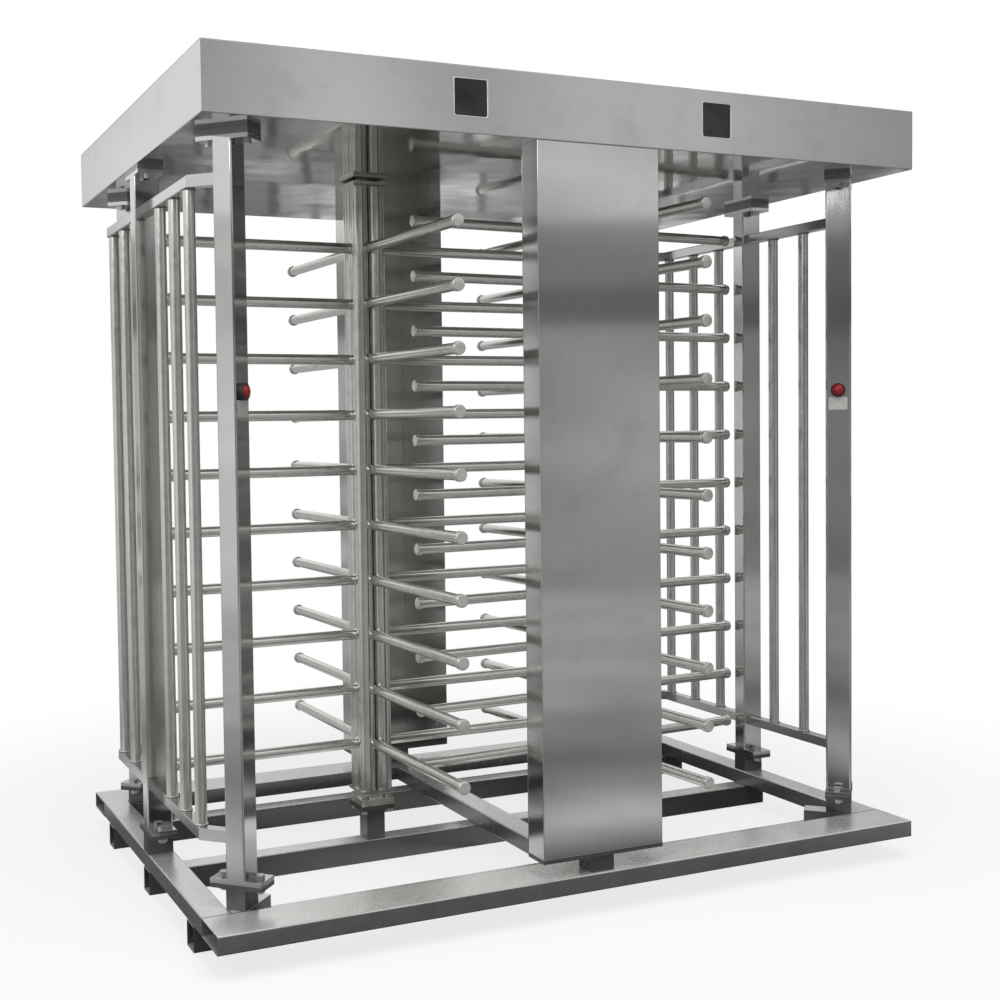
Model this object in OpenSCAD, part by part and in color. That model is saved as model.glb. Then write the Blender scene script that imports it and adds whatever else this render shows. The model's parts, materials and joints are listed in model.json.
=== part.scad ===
// Full height turnstile with two lanes, in stainless steel.
// Origin: middle of the base frame on the floor. X runs across both lanes, -Y is the front, Z is up.

/* [Frame] */
// Height over all
overall_h = 2300; // [2260:10:2400]
// Side of the square crossbars that stand on the floor
crossbar = 70; // [60:2:80]
// Distance from the front of the frame to the middle of the outer crossbar
crossbar_inset = 255; // [220:5:300]
// Height of the rails on the crossbars
rail_h = 50; // [40:2:60]
// Width of the front and back rails
long_rail_w = 145; // [130:1:150]
// Width of the side rails and the centre rail
side_rail_w = 80; // [78:1:84]
// Wall of the rails and crossbars
frame_wall = 4; // [3:0.5:6]
// Width of the short diagonal beams under the corner posts
corner_beam_w = 60; // [56:1:70]
// Reach of a diagonal beam from the middle of its post
corner_beam_reach = 105; // [90:1:120]

/* [Posts] */
// Wide face of the posts
post_w = 75; // [70:1:78]
// Narrow face of the posts
post_t = 55; // [50:1:60]
// Wall of the posts
post_wall = 3; // [2:0.5:5]
// Distance from the side of the frame to the middle of the corner posts
corner_side_inset = 122; // [115:1:130]
// Distance from the front of the frame to the middle of the corner posts
corner_front_inset = 184; // [175:1:195]
// Height of the stubs under the post plates
stub_h = 54; // [40:2:70]
// Length of the foot and head plates
plate_l = 150; // [140:2:170]
// Thickness of the foot and head plates
plate_t = 12; // [8:1:15]
// Thickness of the pads under the soffit
pad_t = 15; // [10:1:20]
// Diameter of the post bolts
post_bolt_d = 16; // [12:1:18]
// Diameter of the cable holes in plates, pads and soffit
cable_hole_d = 30; // [20:1:34]

/* [Cages] */
// Side of the square cage rails
cage_rail = 32; // [28:1:40]
// Wall of the cage rails and bars
cage_wall = 2.5; // [2:0.5:4]
// Distance from the side of the frame to the middle of a cage rail
cage_inset = 44; // [36:1:50]
// Underside of the bottom cage rail
cage_low_z = 287; // [250:1:320]
// Distance from the soffit to the top cage rail
cage_top_gap = 104; // [65:1:145]
// Diameter of the cage bars
cage_bar_d = 32; // [25:1:32]
// Distance of the first cage bar from the middle
cage_bar_y = 150; // [120:1:160]
// Distance from the last cage bar to the bend of the rails
cage_bend_gap = 24; // [20:1:40]

/* [Pillars] */
// Width of the pillars
pillar_w = 386; // [360:2:400]
// Depth of the pillars
pillar_d = 86; // [80:1:90]
// Distance from the frame's front to the pillar's face
pillar_inset = 2; // [0:0.5:4]
// Sheet of the pillar covers and panels
pillar_sheet = 2; // [1.5:0.5:3]
// Side of the stubs under the pillars
pillar_stub = 70; // [60:1:80]
// Height of the stubs under the pillars
pillar_stub_h = 46; // [30:1:60]
// Side of the uprights inside the pillars
upright = 40; // [30:1:50]
// Distance of the uprights from the middle
upright_x = 150; // [130:1:160]
// Seam of the rear inner panel, from the middle
seam_x = 29; // [10:1:60]
// Diameter of the panel screws
screw_d = 6; // [5:0.5:8]
// First panel screw above the pillar's foot
screw_low = 70; // [50:5:120]

/* [Canopy] */
// Height of the canopy
canopy_h = 175; // [170:1:190]
// Sheet of the fascia, the soffit and the top cover
canopy_sheet = 3; // [2:0.5:4]
// Width of the lip that carries the top cover
lip_w = 14; // [10:1:20]
// Side of the square tubes of the canopy frame
canopy_tube = 50; // [40:1:50]
// Distance of the mechanism beams from the middle
beam_y = 95; // [90:1:105]
// Distance from the top to the middle of the windows
window_drop = 82; // [76:1:84]
// Side of the indicator windows
window_w = 100; // [80:1:104]
// Edge of the indicator boards round the windows
board_edge = 6; // [4:1:8]
// Thickness of the indicator boards
board_t = 12; // [8:1:16]

/* [Rotors] */
// Radius over the arm caps, from which the frame takes its width and depth
rotor_r = 636; // [580:2:680]
// Distance from the caps of one rotor to the axis of the other
wing_axis_gap = 144; // [140:1:180]
// Gap between the caps and the cage rails
wing_side_gap = 29; // [20:1:60]
// Gap between the caps and the pillars
wing_pillar_gap = 16; // [12:1:40]
// Levels of arms on the left rotor
left_levels = 10; // [8:1:10]
// Levels of arms on the right rotor
right_levels = 11; // [8:1:11]
// Height of the left rotor's lowest level over the floor
left_low_z = 374.5; // [360:0.5:400]
// Height of the right rotor's lowest level over the floor
right_low_z = 292; // [280:0.5:320]
// Distance from the soffit to the left rotor's top level
left_top_gap = 207; // [180:1:240]
// Distance from the soffit to the right rotor's top level
right_top_gap = 118; // [100:1:150]
// Turn of the left rotor at rest, in degrees
left_rest_turn = 1; // [-4:0.5:4]
// Turn of the right rotor at rest, in degrees
right_rest_turn = 4; // [-4:0.5:4]
// Diameter of the four column tubes
column_tube_d = 54; // [50:0.5:54.5]
// Distance of the column tubes' axes, side to side
column_pitch = 55; // [55:0.5:56]
// Wall of the column tubes
column_wall = 3; // [2:0.5:4]
// Side of the square end plates of the column
column_plate = 110; // [110:1:114]
// Thickness of the end plates of the column
column_plate_t = 8; // [6:1:10]
// Diameter of the arms
arm_d = 32; // [28:1:34]
// Wall of the arms
arm_wall = 3; // [2:0.5:4]
// Distance from the axis at which an arm starts in its valley
arm_start = 44; // [42:1:46]
// Diameter of the arm caps
cap_d = 38; // [34:1:42]
// Length of the arm caps outside the arm
cap_l = 16; // [12:1:20]
// Length of the plug inside the arm
cap_plug = 20; // [10:1:30]

/* [Rotor bearings] */
// Side of the rotor pedestals
pedestal = 60; // [50:1:64]
// Height of the tube of the rotor pedestals
pedestal_h = 98; // [80:1:110]
// Thickness of the plates on the rotor pedestals
pedestal_plate_t = 15; // [10:1:20]
// Side of the square bearing flanges
flange = 108; // [104:1:112]
// Thickness of the bottom bearing flanges
flange_t = 19; // [14:1:22]
// Diameter of the bottom bearing collars
collar_d = 92; // [84:1:94]
// Height of the bottom bearing collars
collar_h = 20; // [15:1:25]
// Diameter of the spindle under the column
spindle_d = 40; // [30:1:50]
// Bolt circle of the bearings as half its square's side
flange_bolt = 42; // [41:0.5:43]
// Diameter of the bearing bolts
bearing_bolt_d = 12; // [10:1:12]
// Height of the bearing under the canopy cover
top_bearing_h = 30; // [26:1:34]
// Thickness of the top bearing flanges
top_flange_t = 12; // [10:1:14]
// Diameter of the top bearing collars
top_collar_d = 84; // [76:1:88]

/* [Mechanism] */
// Length of the mechanism plates, across
mech_l = 400; // [390:1:410]
// Width of the mechanism plates, front to back
mech_w = 360; // [350:1:380]
// Thickness of the mechanism plates
mech_t = 8; // [6:1:10]
// Diameter of the top shafts
shaft_d = 50; // [44:1:54]
// Diameter of the holes for the top shafts
shaft_hole_d = 62; // [58:1:66]
// Gap between the shaft flange and the soffit
soffit_gap = 6; // [5:1:12]
// Thickness of the square flange under the top shaft
shaft_flange_t = 8; // [6:1:10]
// Length of the top shaft above the lock disc
shaft_end = 22; // [10:1:28]
// Module of the gears
gear_module = 3; // [2.9:0.05:3.05]
// Teeth of the drive gear
gear_teeth = 60; // [60]
// Teeth of the pinion
pinion_teeth = 20; // [20]
// Width of the gears
gear_w = 16; // [12:1:18]
// Height of the drive gear's hub
hub_h = 33.5; // [30:0.5:36]
// Diameter of the drive gear's hub
hub_d = 76; // [66:1:80]
// Thinning of each tooth, for play in the mesh
backlash = 0.35; // [0.2:0.05:0.5]
// Diameter of the lock disc
disc_d = 200; // [190:1:204]
// Thickness of the lock disc and the pawls
disc_t = 12; // [8:1:14]
// Width of a notch in the lock disc
notch_w = 29; // [27:1:32]
// Depth of a notch in the lock disc
notch_deep = 18; // [17:0.5:20]
// Distance of the pawl pins from the rotor axis, across
pawl_x = 105; // [100:1:110]
// Distance of the pawl pins from the rotor axis, front to back
pawl_y = 128; // [126:1:132]
// Diameter of the pawl's boss
pawl_boss_d = 34; // [28:1:36]
// Width of the pawl's lever
pawl_w = 16; // [12:1:18]
// Width of the pawl's tooth
tooth_w = 16; // [12:1:18]
// Gap between the released tooth and the lock disc
tooth_gap = 2.5; // [2:0.5:4]
// Length of the pawl's tail behind the pin
tail_l = 36; // [30:1:40]
// Gap between the tail and the magnet's core at rest
magnet_gap = 8; // [7.5:0.5:9]
// Side of the magnets
magnet = 30; // [24:1:34]
// Diameter of the pawl pins in the pawls
pin_d = 12; // [10:1:14]
// Diameter of the pins' feet
pin_foot_d = 34; // [26:1:36]
// Diameter of the pins under the pawls, inside the springs
pin_neck_d = 22; // [18:1:24]
// Height of the torsion springs
spring_h = 12; // [8:1:14]
// Wire of the torsion springs
spring_wire = 3; // [2:0.5:3]
// Diameter of the centring motors
motor_d = 84; // [70:1:90]
// Height of the centring motors
motor_h = 44; // [36:1:46]
// Diameter of the motor shafts
motor_shaft_d = 12; // [10:1:14]
// Diameter of the position sensors
sensor_d = 12; // [8:1:14]
// Length of the position sensors
sensor_l = 30; // [24:1:36]
// Size of the controller box
controller = [240, 200, 70];
// Size of the power supply
supply = [220, 110, 50];
// Distance of the power supply from the middle
supply_y = 330; // [260:5:400]
// Width of the cable trunking
trunk_w = 36; // [30:1:40]
// Height of the cable trunking
trunk_h = 30; // [20:1:40]
// Distance of the cable trunking from the middle
trunk_x = 155; // [145:1:160]

/* [Buttons] */
// Height of the buttons over the floor
button_z = 1460; // [1300:5:1500]
// Diameter of the red button
button_d = 36; // [30:1:38]
// Height of the red button's dome
button_h = 10; // [8:1:14]
// Diameter of the black collar
button_collar_d = 44; // [42:1:48]
// Height of the black collar
button_collar_h = 12; // [10:1:14]
// Travel of the button
button_travel = 5; // [3:0.5:5]
// Diameter of the stem in the collar
stem_d = 16; // [12:1:16]
// Diameter of the sleeve through the post's wall
sleeve_d = 22; // [20:1:26]
// Length of the sleeve inside the post
sleeve_l = 14; // [12:1:18]
// Width of the bare plate under the button
tag_w = 56; // [40:1:60]
// Height of the bare plate
tag_h = 39; // [30:1:45]
// Thickness of the bare plate
tag_t = 1.5; // [1:0.5:3]

/* [Fits] */
// Radial play of a shaft in its bearing
running_fit = 0.05; // [0.02:0.01:0.08]
// Play of parts that are only put together
loose_fit = 0.2; // [0.1:0.05:0.25]
// Gap between a part that turns and one that stands
turn_gap = 0.5; // [0.4:0.1:1]
// Play of a bolt in its hole, in radius
bolt_play = 0.5; // [0.2:0.1:0.8]

/* [Hidden] */
$fn = 48;

// Heights, from the floor up
rail_top = crossbar + rail_h;
plate_z = rail_top + stub_h;
foot_z = plate_z + plate_t;
post_z = foot_z + plate_t;
canopy_z = overall_h - canopy_h;
pad_z = canopy_z - pad_t;
head_z = pad_z - plate_t;
pillar_plate_z = rail_top + pillar_stub_h;
pillar_z = pillar_plate_z + plate_t;
pillar_h = canopy_z - pillar_z;
soffit_top = canopy_z + canopy_sheet;
frame_top = soffit_top + canopy_tube;
bearing_z = crossbar + pedestal_h + pedestal_plate_t;
collar_z = bearing_z + flange_t;
column_z = collar_z + collar_h + turn_gap;
column_top = canopy_z - soffit_gap - shaft_flange_t;
mech_z = frame_top + mech_t;
gear_z = mech_z + top_bearing_h + turn_gap;
disc_z = gear_z + hub_h;

// Places seen from above, from the wings outwards
rotor_x = (rotor_r + wing_axis_gap) / 2;
cage_x = rotor_x + rotor_r + wing_side_gap + cage_rail / 2;
frame_w = 2 * (cage_x + cage_inset);
frame_d = 2 * (rotor_r + wing_pillar_gap + pillar_d + pillar_inset);
corner_x = frame_w / 2 - corner_side_inset;
corner_y = frame_d / 2 - corner_front_inset;
crossbar_y = frame_d / 2 - crossbar_inset;
side_x = (frame_w - post_w) / 2;
bend_y = corner_y - (cage_x - corner_x);
bolt_y = (plate_l + post_t) / 4;
pillar_y = frame_d / 2 - pillar_inset - pillar_d / 2;
inner_w = frame_w - 2 * canopy_sheet;
inner_d = frame_d - 2 * canopy_sheet;
gear_r = gear_module * gear_teeth / 2;
pinion_r = gear_module * pinion_teeth / 2;
pinion_x = gear_r + pinion_r;
window_z = overall_h - window_drop;
pawl_engaged = 9;
cage_bars = 3;
cage_bar_step = (bend_y - cage_bend_gap - cage_bar_y) / (cage_bars - 1);
cage_top_z = canopy_z - cage_top_gap;
left_top_z = canopy_z - left_top_gap;
right_top_z = canopy_z - right_top_gap;
left_step = (left_top_z - left_low_z) / (left_levels - 1);
right_step = (right_top_z - right_low_z) / (right_levels - 1);
screw_rows = 4;

// Shares of a bolt's diameter: across flats, head height, nut height
flats_share = 1.5;
head_share = 0.63;
nut_share = 0.8;
// Share of a cap's diameter that gives its dome's radius
dome_share = 0.58;
// Share of a flange's side that gives the radius of its rounded corners' circle
corner_share = 0.66;
// Share of the panel's height between two rows of screws
screw_share = 0.3;

// Colours
steel = [0.72, 0.73, 0.72];
dark_steel = [0.22, 0.22, 0.23];
bright_steel = [0.85, 0.85, 0.86];
black = [0.06, 0.06, 0.07];
red = [0.75, 0.05, 0.05];
zinc = [0.62, 0.64, 0.66];
green = [0.08, 0.3, 0.14];

// Helpers

module both_x() for (s = [0, 1]) mirror([s, 0, 0]) children();
module both_y() for (s = [0, 1]) mirror([0, s, 0]) children();
module quarters() both_x() both_y() children();
module at_z(z) translate([0, 0, z]) children();

module at_corner_posts() quarters() translate([corner_x, corner_y, 0]) rotate([0, 0, 45]) children();
module at_front_post(side) mirror([side < 0 ? 1 : 0, 0, 0])
    mirror([0, 1, 0]) translate([corner_x, corner_y, 0]) rotate([0, 0, 45]) children();
module at_front_posts() for (side = [-1, 1]) at_front_post(side) children();
module at_back_posts() both_x() translate([corner_x, corner_y, 0]) rotate([0, 0, 45]) children();
module at_side_posts() both_x() translate([side_x, 0, 0]) children();
module at_posts() {
    at_corner_posts() children();
    at_side_posts() children();
}

// One rotor's place: -1 left, 1 right, where the mechanism is a mirror image
module at_rotor(side) translate([side * rotor_x, 0, 0]) mirror([side > 0 ? 1 : 0, 0, 0]) children();
module at_rotors() for (side = [-1, 1]) at_rotor(side) children();
module at_corners(d) for (x = [-1, 1], y = [-1, 1]) translate([x * d, y * d, 0]) children();

// A block that stands on z = 0, in the middle of X and Y
module block(size) translate([0, 0, size[2] / 2]) cube(size, center = true);

// A rectangular tube about the origin, open along axis 0, 1 or 2
module box_tube(size, wall, along) difference() {
    cube(size, center = true);
    cube([for (i = [0:2]) i == along ? size[i] + 2 * wall : size[i] - 2 * wall], center = true);
}

// A hex bolt: head above z = 0, shank below
module hex_bolt(d, grip) {
    cylinder(h = d * head_share, d = d * flats_share / cos(30), $fn = 6);
    at_z(-grip) cylinder(h = grip + d * head_share / 2, d = d);
}

module hex_nut(d) at_z(-d * nut_share) difference() {
    cylinder(h = d * nut_share, d = d * flats_share / cos(30), $fn = 6);
    at_z(-d) cylinder(h = 3 * d, r = d / 2 + loose_fit / 2);
}

module through_hole(d, z, h) at_z(z - h) cylinder(h = 3 * h, d = d);

// Base frame

module base_long_rails() color(steel) both_y()
    translate([0, (frame_d - long_rail_w) / 2, crossbar + rail_h / 2])
        box_tube([frame_w, long_rail_w, rail_h], frame_wall, 0);

module base_depth_rails() color(steel) for (x = [-1, 0, 1])
    translate([x * (frame_w - side_rail_w) / 2, 0, crossbar + rail_h / 2])
        box_tube([side_rail_w, frame_d - 2 * long_rail_w, rail_h], frame_wall, 1);

module base_crossbars() color(steel) for (y = [-1, 0, 1])
    translate([0, y * crossbar_y, crossbar / 2])
        box_tube([frame_w, crossbar, crossbar], frame_wall, 0);

// Each lies on the outer crossbar and ends in the corner between two rails
module corner_beams() color(steel) quarters() intersection() {
    translate([corner_x, corner_y, crossbar + rail_h / 2]) rotate([0, 0, 45])
        box_tube([2 * corner_beam_reach, corner_beam_w, rail_h], frame_wall, 0);
    cube([frame_w / 2 - side_rail_w, frame_d / 2 - long_rail_w, rail_top]);
}

// Feet

module bolt_plate(z, t) difference() {
    at_z(z) block([post_w, plate_l, t]);
    for (s = [-1, 1]) translate([0, s * bolt_y, 0])
        through_hole(post_bolt_d + 2 * bolt_play, z, t);
    through_hole(cable_hole_d, z, t);
}

module post_pedestals() color(steel) at_posts() {
    at_z(rail_top + stub_h / 2) box_tube([post_w, post_t, stub_h], post_wall, 2);
    bolt_plate(plate_z, plate_t);
}

module pillar_pedestals() color(steel) both_y() translate([0, pillar_y, 0]) {
    at_z(rail_top + pillar_stub_h / 2)
        box_tube([pillar_stub, pillar_stub, pillar_stub_h], frame_wall, 2);
    difference() {
        at_z(pillar_plate_z) block([pillar_w, pillar_d, plate_t]);
        through_hole(cable_hole_d, pillar_plate_z, plate_t);
    }
}

module rotor_pedestals() color(steel) at_rotors() {
    at_z(crossbar + pedestal_h / 2) box_tube([pedestal, pedestal, pedestal_h], frame_wall, 2);
    difference() {
        at_z(crossbar + pedestal_h) block([flange, flange, pedestal_plate_t]);
        at_corners(flange_bolt)
            through_hole(bearing_bolt_d + 2 * bolt_play, crossbar + pedestal_h, pedestal_plate_t);
        through_hole(cable_hole_d, crossbar + pedestal_h, pedestal_plate_t);
    }
}

// Posts

module post() {
    bolt_plate(foot_z, plate_t);
    at_z((post_z + head_z) / 2) box_tube([post_w, post_t, head_z - post_z], post_wall, 2);
    bolt_plate(head_z, plate_t);
}

module corner_posts() color(steel) {
    at_back_posts() post();
    at_front_posts() difference() {
        post();
        translate([0, post_t / 2, button_z]) rotate([90, 0, 0])
            cylinder(h = 2 * post_wall, d = sleeve_d + 2 * loose_fit, center = true);
    }
}

module side_posts() color(steel) at_side_posts() post();

module post_pads() color(steel) at_posts() bolt_plate(pad_z, pad_t);

module post_bolts() color(zinc) at_posts() for (s = [-1, 1]) translate([0, s * bolt_y, 0]) {
    at_z(post_z) hex_bolt(post_bolt_d, 2 * plate_t + post_bolt_d);
    at_z(plate_z) hex_nut(post_bolt_d);
    at_z(head_z) mirror([0, 0, 1]) hex_bolt(post_bolt_d, plate_t + pad_t - bolt_play);
}

// Cages: rails bent once to meet the turned corner posts

function cage_outline(w, over) = let (
        c = w / 2 * cos(45),
        k = w / 2 * tan(22.5),
        e = (post_t / 2 - over) * cos(45),
        y0 = post_t / 2 - over) [
    [cage_x + w / 2, y0], [cage_x + w / 2, bend_y + k],
    [corner_x + e + c, corner_y - e + c], [corner_x + e - c, corner_y - e - c],
    [cage_x - w / 2, bend_y - k], [cage_x - w / 2, y0]];

module cage_rail_half(z) at_z(z) difference() {
    linear_extrude(cage_rail) polygon(cage_outline(cage_rail, 0));
    at_z(cage_wall) linear_extrude(cage_rail - 2 * cage_wall)
        polygon(cage_outline(cage_rail - 2 * cage_wall, cage_wall));
}

module cage_rails() color(steel) both_y() {
    cage_rail_half(cage_low_z);
    cage_rail_half(cage_top_z - cage_rail);
}

module cage_bars_set() color(steel) both_y() for (i = [0:cage_bars - 1])
    translate([cage_x, cage_bar_y + i * cage_bar_step, cage_low_z + cage_rail]) difference() {
        cylinder(h = cage_top_z - cage_low_z - 2 * cage_rail, d = cage_bar_d);
        at_z(-cage_wall) cylinder(h = cage_top_z - cage_low_z, d = cage_bar_d - 2 * cage_wall);
    }

module left_cage_rails() mirror([1, 0, 0]) cage_rails();
module left_cage_bars() mirror([1, 0, 0]) cage_bars_set();
module right_cage_rails() cage_rails();
module right_cage_bars() cage_bars_set();

// Pillars

module screw_places() for (s = [-1, 1], i = [0:screw_rows - 1])
    translate([s * upright_x, pillar_d / -2, pillar_z + screw_low + i * screw_share * pillar_h])
        rotate([90, 0, 0]) children();

module screw_holes() screw_places()
    at_z(-pillar_sheet * 3) cylinder(h = pillar_sheet * 4, r = screw_d / 2 + loose_fit / 2);

// The rear pillar's cover, its face towards +Y and its inner side towards -Y
module pillar_cover() color(steel) translate([0, pillar_y, pillar_z]) difference() {
    block([pillar_w, pillar_d, pillar_h]);
    translate([0, -pillar_sheet, -pillar_sheet])
        block([pillar_w - 2 * pillar_sheet, pillar_d, pillar_h + 2 * pillar_sheet]);
}

module inner_panel(x0, x1) difference() {
    translate([x0, pillar_y - pillar_d / 2, pillar_z]) cube([x1 - x0, pillar_sheet, pillar_h]);
    translate([0, pillar_y, 0]) screw_holes();
}

panel_x = pillar_w / 2 - pillar_sheet - loose_fit;
module pillar_covers() both_y() pillar_cover();
module rear_pillar_inner_panels() color(steel) {
    inner_panel(-panel_x, seam_x - turn_gap);
    inner_panel(seam_x + turn_gap, panel_x);
}
module front_pillar_inner_panel() color(steel) mirror([0, 1, 0]) inner_panel(-panel_x, panel_x);

module pillar_uprights() color(zinc) both_y() difference() {
    for (s = [-1, 1]) translate([s * upright_x,
        pillar_y - pillar_d / 2 + pillar_sheet + upright / 2, pillar_z + pillar_h / 2])
            box_tube([upright, upright, pillar_h], pillar_sheet, 2);
    translate([0, pillar_y, 0]) screw_holes();
}

module pillar_screws() color(zinc) both_y() translate([0, pillar_y, 0]) screw_places() {
    cylinder(h = screw_d / 2, d = 2 * screw_d);
    at_z(-2 * screw_d) cylinder(h = 2 * screw_d + screw_d / 4, d = screw_d);
}

// Canopy

module canopy_fascia() color(steel) difference() {
    at_z(canopy_z) block([frame_w, frame_d, canopy_h]);
    at_z(canopy_z - canopy_h) block([inner_w, inner_d, 2 * canopy_h - 2 * canopy_sheet]);
    at_z(canopy_z) block([inner_w - 2 * lip_w, inner_d - 2 * lip_w, 2 * canopy_h]);
    at_z(overall_h - canopy_sheet) block([inner_w, inner_d, canopy_h]);
    for (s = [-1, 1]) translate([s * rotor_x, 0, window_z])
        cube([window_w, 2 * frame_d, window_w], center = true);
}

module canopy_soffit() color(bright_steel) difference() {
    at_z(canopy_z) block([inner_w - loose_fit, inner_d - loose_fit, canopy_sheet]);
    at_rotors() through_hole(shaft_hole_d, canopy_z, canopy_sheet);
    at_posts() through_hole(cable_hole_d, canopy_z, canopy_sheet);
}

module canopy_cover() color(steel) at_z(overall_h - canopy_sheet)
    block([inner_w - loose_fit, inner_d - loose_fit, canopy_sheet]);

// Six long tubes between two side tubes
module canopy_frame() color(zinc) at_z(soffit_top + canopy_tube / 2) {
    both_x() translate([(inner_w - canopy_tube - loose_fit) / 2, 0, 0])
        box_tube([canopy_tube, inner_d - loose_fit, canopy_tube], frame_wall, 1);
    both_y() for (y = [(inner_d - canopy_tube - loose_fit) / 2, corner_y, beam_y])
        translate([0, y, 0])
            box_tube([inner_w - 2 * canopy_tube - loose_fit, canopy_tube, canopy_tube], frame_wall, 0);
}

module window_panes() color(black) both_y() for (s = [-1, 1])
    translate([s * rotor_x, (frame_d - canopy_sheet) / 2, window_z])
        cube([window_w - loose_fit, canopy_sheet, window_w - loose_fit], center = true);

board_top = window_z + window_w / 2 + board_edge;
module indicator_boards() color(green) both_y() for (s = [-1, 1])
    translate([s * rotor_x, (inner_d - board_t) / 2, frame_top])
        block([window_w + 2 * board_edge, board_t, board_top - frame_top]);

module controller_box() color(zinc) at_z(frame_top) block(controller);

module power_supply() color(zinc) translate([0, supply_y, soffit_top]) block(supply);

// One run along each lane side and one along the fascia, on top of the frame
module cable_trunking() color(black) quarters() at_z(frame_top) {
    translate([trunk_x, inner_d / 4 - board_t, 0])
        block([trunk_w, inner_d / 2 - 2 * board_t, trunk_h]);
    translate([(trunk_x + rotor_x) / 2, inner_d / 2 - 2 * board_t - trunk_w / 2, 0])
        block([rotor_x - trunk_x, trunk_w, trunk_h]);
}

// Bearings

module flange_bearing(z, side, t, d, h, bore) difference() {
    at_z(z) {
        intersection() {
            block([side, side, t]);
            cylinder(h = t, r = side * corner_share);
        }
        cylinder(h = h, d = d);
    }
    at_corners(flange_bolt) through_hole(bearing_bolt_d + 2 * bolt_play, z, t);
    through_hole(bore + 2 * running_fit, z, h);
}

module bottom_bearings() color(zinc) at_rotors()
    flange_bearing(bearing_z, flange, flange_t, collar_d, flange_t + collar_h, spindle_d);

module top_bearings() color(zinc) at_rotors()
    flange_bearing(mech_z, flange, top_flange_t, top_collar_d, top_bearing_h, shaft_d);

module bearing_bolts() color(zinc) at_rotors() at_corners(flange_bolt) {
    at_z(collar_z) hex_bolt(bearing_bolt_d, flange_t + pedestal_plate_t + bearing_bolt_d);
    at_z(crossbar + pedestal_h) hex_nut(bearing_bolt_d);
    at_z(mech_z + top_flange_t) hex_bolt(bearing_bolt_d, top_flange_t + mech_t + bearing_bolt_d);
    at_z(frame_top) hex_nut(bearing_bolt_d);
}

// Rotors

module column() color(steel) {
    difference() {
        union() {
            at_corners(column_pitch / 2)
                at_z(column_z) cylinder(h = column_top - column_z, d = column_tube_d);
            at_z(column_z) block([column_plate, column_plate, column_plate_t]);
            at_z(column_top - column_plate_t) block([column_plate, column_plate, column_plate_t]);
            at_z(bearing_z + turn_gap) cylinder(h = column_z - bearing_z, d = spindle_d);
        }
        at_corners(column_pitch / 2) {
            at_z(column_z + column_plate_t)
                cylinder(h = column_top - column_z - 2 * column_plate_t, d = column_tube_d - 2 * column_wall);
            through_hole(bearing_bolt_d, column_z, column_plate_t);
        }
    }
}

// An arm along +X, coped to the two column tubes of its valley
module arm() difference() {
    translate([arm_start, 0, 0]) rotate([0, 90, 0])
        cylinder(h = rotor_r - cap_l - arm_start, d = arm_d);
    rotate([0, 90, 0]) cylinder(h = rotor_r, d = arm_d - 2 * arm_wall);
    for (s = [-1, 1]) translate([column_pitch / 2, s * column_pitch / 2, 0])
        cylinder(h = 2 * arm_d, d = column_tube_d + loose_fit, center = true);
}

module arm_cap() translate([rotor_r - cap_l, 0, 0]) rotate([0, 90, 0]) {
    at_z(-cap_plug) cylinder(h = cap_plug + cap_l / 4, d = arm_d - 2 * arm_wall - loose_fit);
    intersection() {
        cylinder(h = cap_l, d = cap_d);
        at_z(cap_l - cap_d * dome_share) sphere(r = cap_d * dome_share);
    }
}

module wings(levels, low_z, step, turn) for (i = [0:levels - 1], a = [0:3])
    at_z(low_z + i * step) rotate([0, 0, 90 * a + turn]) children();
module left_wings() translate([-rotor_x, 0, 0])
    wings(left_levels, left_low_z, left_step, left_rest_turn) children();
module right_wings() translate([rotor_x, 0, 0])
    wings(right_levels, right_low_z, right_step, right_rest_turn) children();

module left_rotor_column() at_rotor(-1) rotate([0, 0, left_rest_turn]) column();
module right_rotor_column() translate([rotor_x, 0, 0]) rotate([0, 0, right_rest_turn]) column();
module left_rotor_arms() color(steel) left_wings() arm();
module right_rotor_arms() color(steel) right_wings() arm();
module left_arm_caps() color(bright_steel) left_wings() arm_cap();
module right_arm_caps() color(bright_steel) right_wings() arm_cap();

module top_shaft(side, turn) color(bright_steel) translate([side * rotor_x, 0, column_top]) {
    rotate([0, 0, turn]) block([column_plate, column_plate, shaft_flange_t]);
    cylinder(h = disc_z + disc_t + shaft_end - column_top, d = shaft_d);
}
module left_top_shaft() top_shaft(-1, left_rest_turn);
module right_top_shaft() top_shaft(1, right_rest_turn);

// Gears: involute teeth, with three points on each flank

pressure = 20;
function involute_turn(r, base) = let (a = acos(min(1, base / r))) tan(a) * 180 / PI - a;
function flank(r, base, pitch_r, half) =
    half - involute_turn(max(r, base), base) + involute_turn(pitch_r, base);
function tooth_points(n, m) = let (
        pitch_r = m * n / 2,
        base = pitch_r * cos(pressure),
        half = 90 / n - backlash / 2 / pitch_r * 180 / PI,
        radii = [pitch_r - 1.25 * m, max(base, pitch_r - 0.8 * m), pitch_r, pitch_r + 0.95 * m],
        angles = [for (r = radii) flank(r, base, pitch_r, half)])
    concat([for (i = [0:3]) [radii[i], -angles[i]]], [for (i = [3:-1:0]) [radii[i], angles[i]]]);

module gear_outline(n, m) {
    tooth = tooth_points(n, m);
    polygon([for (t = [0:n - 1], p = tooth)
        [p[0] * cos(p[1] + 360 * t / n), p[0] * sin(p[1] + 360 * t / n)]]);
}

gear_rise = (hub_h - gear_w) / 2;
module drive_gear(side) color(zinc) at_rotor(side) at_z(gear_z) difference() {
    union() {
        cylinder(h = hub_h, d = hub_d);
        at_z(gear_rise) linear_extrude(gear_w) gear_outline(gear_teeth, gear_module);
    }
    at_z(-hub_h) cylinder(h = 3 * hub_h, r = shaft_d / 2 + running_fit);
}
module left_drive_gear() drive_gear(-1);
module right_drive_gear() drive_gear(1);

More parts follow.
